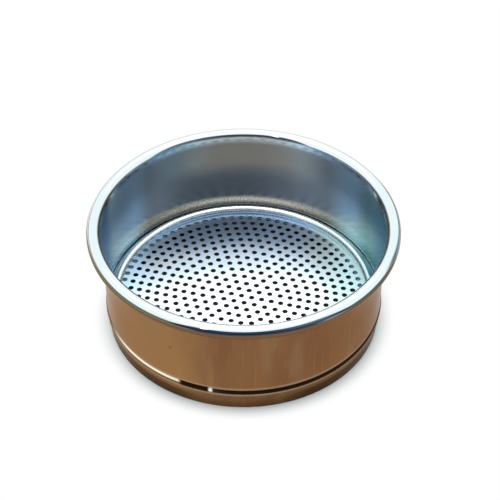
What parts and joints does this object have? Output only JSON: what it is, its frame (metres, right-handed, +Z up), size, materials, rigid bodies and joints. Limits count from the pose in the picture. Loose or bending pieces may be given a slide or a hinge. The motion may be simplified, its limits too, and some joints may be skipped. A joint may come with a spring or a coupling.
{
  "type": "test sieve",
  "caption": "Round stainless test sieve with a rolled rim, a crimped rib, a nesting skirt and a flat plate of round holes in rings.",
  "frame": {"origin": "on the axis, at the middle of the circle that the skirt stands on", "axes": "+Z up along the sieve's axis, out of the open top; X and Y level, with the plate's pattern turned from +X"},
  "size_m": [0.108, 0.108, 0.0415],
  "materials": {
    "polished_steel": "polished stainless steel sheet",
    "plate_steel": "satin stainless steel sheet",
    "ring_steel": "polished stainless steel ring"
  },
  "bodies": {
    "root": {"upper_frame": "polished_steel", "lower_skirt": "polished_steel", "perforated_plate": "plate_steel", "retaining_ring": "ring_steel"}
  },
  "joints": []
}
